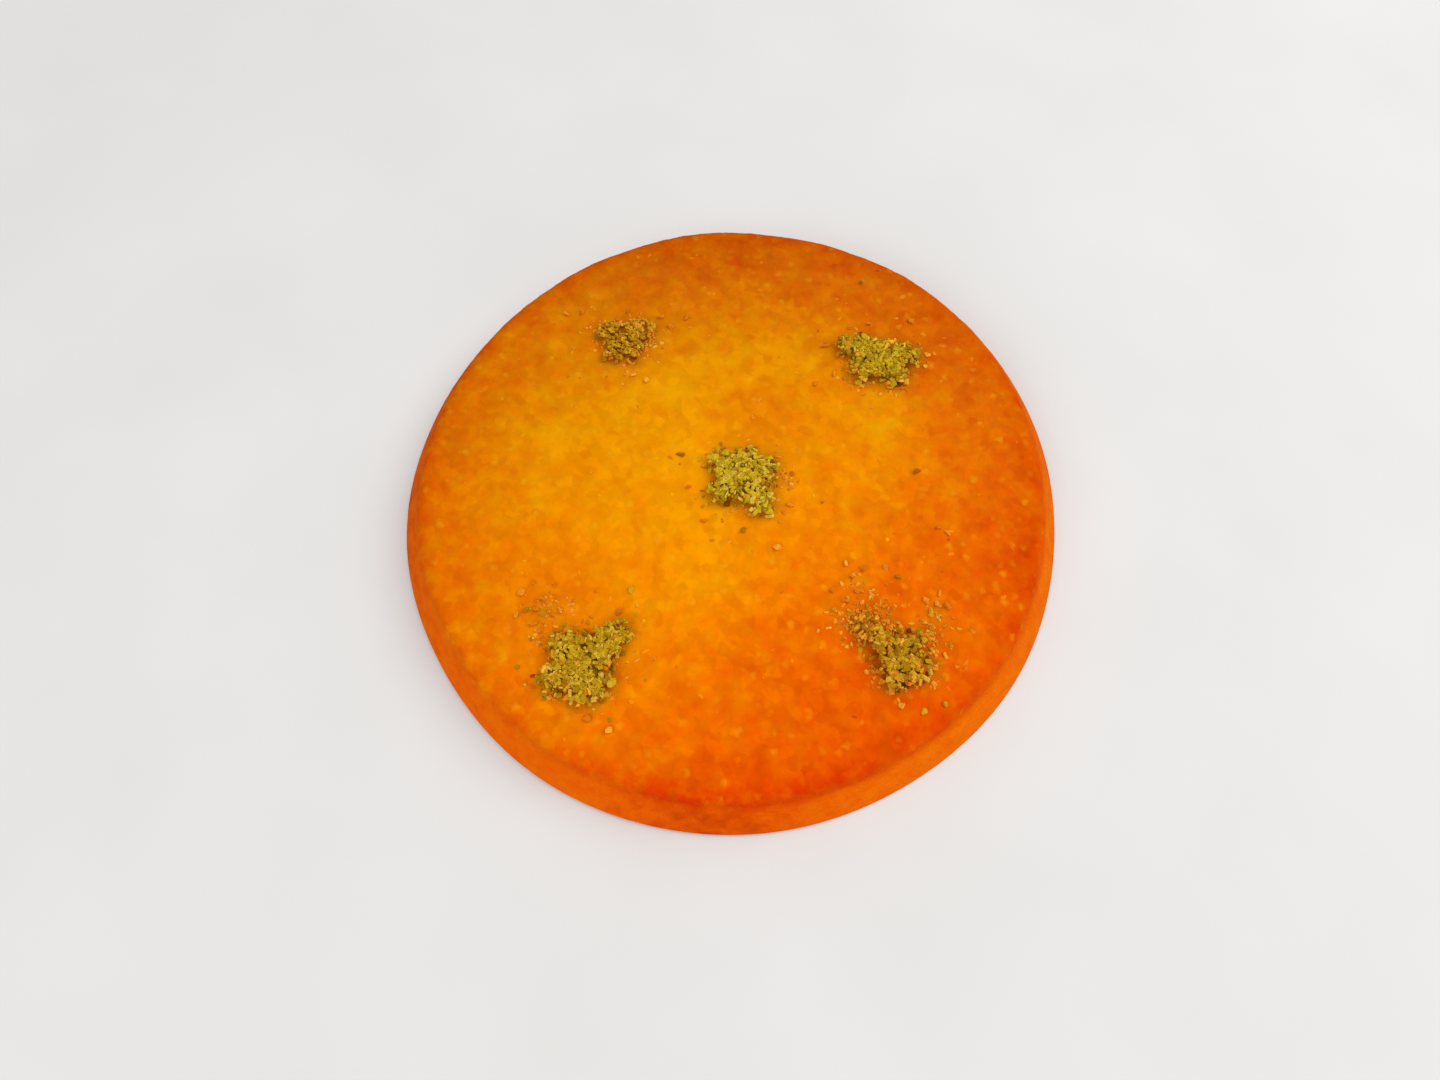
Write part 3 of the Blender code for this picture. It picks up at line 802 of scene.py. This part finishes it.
def settle_pastry(pastry):
    """Give the turned pastry the solid's uneven outline and dips, and note what its crust reads."""
    points = points_of(pastry.data)
    x, y, z = points.T
    rim = np.hypot(x, y)
    angle = np.arctan2(y, x)
    note_on_mesh(pastry, "rim", rim)
    # Powder of nut, with painted shade round the heaps and between fallen crumbs.
    note_on_mesh(pastry, "dust_and_shade", heap_dust_and_shade(x, y))
    note_on_mesh(pastry, "patchy", baked_patches(x, y))
    note_on_mesh(pastry, "fried", fried_ring(rim, angle))
    # Painted reflection of a gold plate's light on the side: lighter towards one bearing, darker at the
    # front.
    reflected = REFLECTION_SHARE * np.cos(angle - math.radians(REFLECTION_BEARING))
    front, width, _ = RING_SPOTS[0]
    note_on_mesh(pastry, "plate_reflection", reflected - REFLECTION_LOST_AT_FRONT * hot_spot(angle, front, width) ** 2)
    scale = outline_scale(angle)
    middle_x, middle_y = outline_middle()
    x = x * scale - middle_x
    y = y * scale - middle_y
    z = z - dip(x, y) * z / TOP
    move_points(pastry.data, np.stack([x, y, z], axis=1))
    weight = np.where(z > FOOT_ROUND, np.clip((FOOT_RADIUS - rim) / RELIEF_FADE, 0, 1), 0)
    crust = pastry.vertex_groups.new(name="crust")
    for index in np.flatnonzero(weight):
        crust.add([int(index)], float(weight[index]), "REPLACE")


def build_pastry(material):
    pastry = turned_out_pastry()
    settle_pastry(pastry)
    for label, size_mm, depth_mm in CRUST_RELIEF:
        roughen(pastry, label, size_mm, depth_mm, "crust")
    pastry.data.shade_smooth()
    name_piece(pastry, "kunafa_pastry", material)
    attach(pastry, "root")
    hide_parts("kunafa")


# ---------------------------------------------------------------- the nuts


def broken_nut(chance, stretch):
    """One angular crumb about 1 m across: a cube with its corners broken off along flat faces."""
    clear_selection()
    bpy.ops.mesh.primitive_cube_add(size=1)
    crumb = bpy.context.object
    bpy.ops.object.mode_set(mode="EDIT")
    for _ in range(NUT_BREAKS):
        facing = Vector([chance.gauss(0, 1) for _ in range(3)]).normalized()
        bpy.ops.mesh.select_all(action="SELECT")
        bpy.ops.mesh.bisect(plane_co=facing * chance.uniform(*NUT_BREAK), plane_no=facing,
                            use_fill=True, clear_outer=True)
    bpy.ops.mesh.select_all(action="SELECT")
    bpy.ops.mesh.normals_make_consistent(inside=False)
    bpy.ops.transform.resize(value=stretch)
    bpy.ops.object.mode_set(mode="OBJECT")
    points = points_of(crumb.data)
    faces = [tuple(face.vertices) for face in crumb.data.polygons]
    bpy.data.objects.remove(crumb, do_unlink=True)
    return points, faces


def nut_shapes():
    """The broken shapes: half of them slivers, and the others chunks and flakes."""
    chance = random.Random(NUT_SEED)
    stretches = (SLIVER, CHUNK, FLAKE, SLIVER)
    return [broken_nut(chance, stretches[number % len(stretches)]) for number in range(NUT_SHAPES)]


def dough_crumb(chance):
    """One soft crumb of dough about 1 m across: a lumpy ball, flattened."""
    clear_selection()
    bpy.ops.mesh.primitive_ico_sphere_add(subdivisions=2, radius=0.5)
    crumb = bpy.context.object
    points = points_of(crumb.data) * (DOUGH_LENGTH, chance.uniform(*DOUGH_WIDTH), DOUGH_HEIGHT)
    points *= [[chance.uniform(*DOUGH_LUMPS)] for _ in points]
    faces = [tuple(face.vertices) for face in crumb.data.polygons]
    bpy.data.objects.remove(crumb, do_unlink=True)
    return points, faces


def dough_shapes():
    chance = random.Random(FLECK_SEED)
    return [dough_crumb(chance) for _ in range(DOUGH_SHAPES)]


class Pile:
    """Crumbs gathered into one mesh. Each has a place, a size, a turn and a tint of its own."""

    def __init__(self, shapes, chance, tilt=NUT_TILT, soak=0.0, ceiling=math.inf):
        self.shapes = shapes
        self.chance = chance
        self.tilt = tilt
        self.soak = soak
        self.ceiling = ceiling
        self.points = []
        self.faces = []
        self.tints = []
        self.count = 0

    def drop(self, x, y, z, size, tint):
        """Add a crumb with its middle at a place, or lower where it would reach past the ceiling."""
        points, faces = self.chance.choice(self.shapes)
        leans = [self.chance.uniform(-self.tilt, self.tilt) for _ in range(2)]
        turn = Euler((*leans, self.chance.uniform(0, math.tau)))
        placed = points @ np.array(turn.to_matrix()).T * size + (x, y, z)
        placed[:, 2] -= max(placed[:, 2].max() - self.ceiling, 0)
        self.points.append(placed)
        self.faces += [tuple(index + self.count for index in face) for face in faces]
        self.tints += [tint] * len(points)
        self.count += len(points)

    def lay(self, x, y, size, tint):
        """Add a small crumb that lies on the crust, a little sunk in it."""
        self.drop(x, y, crust_height(x, y) - SMALL_SINK * size, size, tint)

    def gather(self, name, material):
        """The crumbs as one piece, with their tints and the syrup they soaked up on its mesh."""
        mesh = bpy.data.meshes.new(name)
        mesh.from_pydata(np.concatenate(self.points).tolist(), [], self.faces)
        mesh.materials.append(material)
        piece = bpy.data.objects.new(name, mesh)
        note_on_mesh(piece, "tint", self.tints)
        note_on_mesh(piece, "soak", [self.soak] * self.count)
        bpy.context.scene.collection.objects.link(piece)
        return piece


class Ground:
    """Height of a growing heap on a fine grid, which each crumb that is dropped raises."""

    def __init__(self, heap):
        count = int(2 * GRID_HALF / GRID_CELL)
        middles = (np.arange(count) + 0.5) * GRID_CELL - GRID_HALF
        self.height = np.array([[core_height(x, y, heap) for x in middles] for y in middles])

    def depth(self, place):
        """Height of the heap at a place measured from its middle."""
        x, y = place
        return self.height[int((y + GRID_HALF) / GRID_CELL), int((x + GRID_HALF) / GRID_CELL)]

    def settle(self, x, y, size):
        """Height at which a crumb's middle comes to rest, and the heap raised by it."""
        reach = size / 2
        row = int((y - reach + GRID_HALF) / GRID_CELL)
        column = int((x - reach + GRID_HALF) / GRID_CELL)
        steps = int(size / GRID_CELL) + 1
        patch = self.height[row:row + steps, column:column + steps]
        rest = float(np.mean(patch)) * 0.5 + float(patch.max()) * 0.5
        middle = rest + CRUMB_STAND * size
        np.maximum(patch, middle + CRUMB_TOP * size, out=patch)
        return middle


def pick_lobe(heap, chance, spread=1.0):
    """A random place in a heap, in metres from its middle: more often near the middle of a lobe."""
    areas = [radius * radius for _, _, radius in heap["lobes"]]
    lobe_x, lobe_y, radius = chance.choices(heap["lobes"], areas)[0]
    angle = chance.uniform(0, math.tau)
    reach = spread * radius * chance.random() ** CRUMB_CROWDING
    return (lobe_x + reach * math.cos(angle)) * MM, (lobe_y + reach * math.sin(angle)) * MM


def heap_core(heap, material):
    """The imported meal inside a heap: a low bumpy mound of the heap's outline, but smaller."""
    clear_selection()
    bpy.ops.mesh.primitive_uv_sphere_add(segments=MEAL_SEGMENTS, ring_count=MEAL_RINGS, radius=1)
    core = bpy.context.object
    points = points_of(core.data)
    for number, (x, y, z) in enumerate(points):
        angle = math.atan2(y, x)
        share = math.acos(min(abs(z), 1.0)) * 2 / math.pi
        reach = heap["packed"] * share * heap_reach(angle, heap)
        height = math.copysign(MEAL_HEIGHT * heap["height"] * math.sqrt(1 - share * share), z)
        points[number] = (reach * math.cos(angle), reach * math.sin(angle), height)
    points += (*heap["place"], TOP)
    move_points(core.data, points)
    bpy.ops.object.mode_set(mode="EDIT")
    bpy.ops.mesh.select_all(action="SELECT")
    bpy.ops.mesh.bisect(plane_co=(0, 0, TOP - MEAL_BURIED), plane_no=(0, 0, 1), use_fill=True,
                        clear_inner=True)
    bpy.ops.mesh.select_all(action="SELECT")
    bpy.ops.mesh.normals_make_consistent(inside=False)
    bpy.ops.object.mode_set(mode="OBJECT")
    roughen(core, "meal", MEAL_GRAIN, MEAL_DEPTH)
    core.data.materials.append(material)
    return core


def nut_tint(chance, brown, darkest=1.0, fresh=1.0):
    """Tint of a crumb: kernel, from yellow to olive, or with the chance given tan or brown skin."""
    if chance.random() < brown:
        return chance.uniform(KERNEL_TINTS, darkest)
    return KERNEL_TINTS * chance.random() ** fresh


def build_heap(label, heap, shapes, nuts, meal):
    """A heap of ground pistachio: its meal, the big grains of its solid, and the crumbs between."""
    chance = random.Random(heap["seed"] + SEED_SHIFT)
    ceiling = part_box("pistachio_heap_" + label)[1].z
    pile = Pile(shapes, chance, soak=heap["soak"], ceiling=ceiling)
    ground = Ground(heap)
    place_x, place_y = heap["place"]

    def drop(x, y, z, size):
        share = math.hypot(x, y) / heap_reach(math.atan2(y, x), heap)
        brown = heap["skins"] * (SKIN_INSIDE + SKIN_OUTSIDE * share ** 3)
        tint = nut_tint(chance, brown, fresh=heap["fresh"])
        pile.drop(place_x + x, place_y + y, TOP + z, size, tint)

    for x, y, size in grain_places(heap):
        ground.settle(x, y, size * GRAIN_CLAIM)
        height = core_height(x, y, heap) + size * (CHIP_FLATNESS / 2 - GRAIN_SINK)
        drop(x, y, max(height, GRAIN_REST * size), size * GRAIN_SHOWN)
    for number in range(heap["crumbs"]):
        size = heap["largest"] * (1 - CRUMB_TAPER * number / heap["crumbs"])
        x, y = pick_lobe(heap, chance, CRUMB_SPREAD)
        drop(x, y, ground.settle(x, y, size), size)
    for _ in range(heap["fines"]):
        size = chance.uniform(*FINE_SIZES) * MM
        x, y = min((pick_lobe(heap, chance) for _ in range(2)), key=ground.depth)
        drop(x, y, ground.settle(x, y, size), size)
    piece = pile.gather("ground_pistachio_" + label, nuts)
    core = heap_core(heap, meal)
    clear_selection()
    core.select_set(True)
    piece.select_set(True)
    bpy.context.view_layer.objects.active = piece
    bpy.ops.object.join()
    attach(piece, "root")
    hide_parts("pistachio_heap_" + label)


def crust_height(x, y):
    """Height of the top at a place."""
    return TOP - float(dip(np.float64(x), np.float64(y)))


def build_loose_crumbs(shapes, nuts):
    """Crumbs of nut that rolled off the heaps, the largest where the pastry's solid has them."""
    chance = random.Random(CRUMB_SEED + SEED_SHIFT)
    pile = Pile(shapes, chance, soak=LOOSE_SOAK)
    for x, y, size in crumb_places():
        tint = nut_tint(chance, LOOSE_BROWN, LOOSE_DARKEST)
        gaps = [math.hypot(x - skin_x * MM, y - skin_y * MM) for skin_x, skin_y in BITS_OF_SKIN]
        if min(gaps) < SKIN_REACH:
            tint = SKIN_TINT
        pile.drop(x, y, crust_height(x, y) + CRUMB_RISE * size, size * CRUMB_SHOWN, tint)
    for heap in HEAPS.values():
        for _ in range(heap["strays"]):
            angle = chance.uniform(0, math.tau)
            reach = heap_reach(angle, heap) * (SLID_OUT + abs(chance.gauss(0, SLID_STRAY)))
            x = heap["place"][0] + reach * math.cos(angle)
            y = heap["place"][1] + reach * math.sin(angle)
            size = chance.uniform(*SLID_SIZES) * heap["largest"]
            tint = nut_tint(chance, SLID_BROWN + SLID_BROWNER * heap["skins"], LOOSE_DARKEST)
            pile.lay(x, y, size, tint)
    for centre_x, centre_y, spread, count in SPRINKLES:
        for _ in range(count):
            x = chance.gauss(centre_x, spread * CRUMB_STRAY) * MM
            y = chance.gauss(centre_y, spread * CRUMB_STRAY) * MM
            size = chance.uniform(*SPRINKLE_SIZES) * MM
            if clear_of_heaps(x, y, -SPRINKLE_OVERLAP):
                pile.lay(x, y, size, nut_tint(chance, LOOSE_BROWN, LOOSE_DARKEST))
    piece = pile.gather("loose_pistachio_crumbs", nuts)
    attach(piece, "root")
    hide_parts("kunafa")


def build_flecks(shapes, pale, scorched):
    """Flecks of dough on the crust: pale ones all over, and a few that scorched."""
    chance = random.Random(FLECK_SEED)
    pale_pile = Pile(shapes, chance, tilt=FLECK_TILT)
    for x, y, size, pallor in PALE_FLECKS:
        pale_pile.lay(x * MM, y * MM, size * MM, pallor)
    for _ in range(FINE_FLECKS):
        angle = chance.uniform(0, math.tau)
        reach = (FLAT_EDGE - FLECK_MARGIN) * math.sqrt(chance.random())
        x = reach * math.cos(angle)
        y = reach * math.sin(angle)
        size = chance.uniform(*FLECK_SIZES) * MM
        if clear_of_heaps(x, y, FLECK_CLEARANCE):
            pale_pile.lay(x, y, size, chance.uniform(*FLECK_PALLOR))
    dark_pile = Pile(shapes, chance, tilt=FLECK_TILT)
    for x, y, size, darkness in SCORCHED:
        dark_pile.lay(x * MM, y * MM, size * MM, darkness)
    for piece in (pale_pile.gather("pale_dough_flecks", pale),
                  dark_pile.gather("scorched_specks", scorched)):
        piece.data.shade_smooth()
        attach(piece, "root")
        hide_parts("kunafa")


# ---------------------------------------------------------------- the studio

def build_floor():
    clear_selection()
    bpy.ops.mesh.primitive_plane_add(size=FLOOR_WIDTH)
    floor = bpy.context.object
    name_piece(floor, "studio_floor", painted_board())


def add_softbox(name, place, width, watts):
    """A square studio lamp that faces the pastry."""
    lamp = bpy.data.lights.new(name, "AREA")
    lamp.size = width
    lamp.energy = watts
    box = bpy.data.objects.new(name, lamp)
    box.location = place
    box.rotation_euler = (-Vector(place)).to_track_quat("-Z", "Y").to_euler()
    bpy.context.scene.collection.objects.link(box)


def light_studio():
    world = bpy.data.worlds.new("soft_room")
    world.use_nodes = True
    background = world.node_tree.nodes["Background"]
    background.inputs["Color"].default_value = srgb("FBFBFF")
    background.inputs["Strength"].default_value = ROOM_LIGHT
    bpy.context.scene.world = world
    for name, place, width, watts in LAMPS:
        add_softbox(name, place, width, watts)
    bpy.context.scene.view_settings.view_transform = "Standard"


def place_camera():
    lens = bpy.data.cameras.new("camera")
    lens.lens = CAMERA_LENS
    camera = bpy.data.objects.new("camera", lens)
    camera.location = CAMERA_PLACE
    camera.rotation_euler = [math.radians(turn) for turn in CAMERA_TURN]
    bpy.context.scene.collection.objects.link(camera)
    bpy.context.scene.camera = camera


place_camera()
light_studio()
build_floor()
build_pastry(baked_crust())
nuts = chopped_pistachio()
dry_meal = pistachio_meal("dry_pistachio_meal", ("9A6A0A", "AC840E", "B89612", "C4A61C"))
# Under thin heaps the meal is redder and darker: syrup stain, with painted shade between the crumbs.
damp_shaded_meal = pistachio_meal("damp_shaded_pistachio_meal", ("8E4A06", "A2640A", "AA760E", "B48A18"))
broken = nut_shapes()
for label, heap in HEAPS.items():
    build_heap(label, heap, broken, nuts, damp_shaded_meal if heap["packed"] < DAMP_SHADED_PACKED else dry_meal)
build_loose_crumbs(broken, nuts)
build_flecks(dough_shapes(), pale_flecks(), scorched_dough())
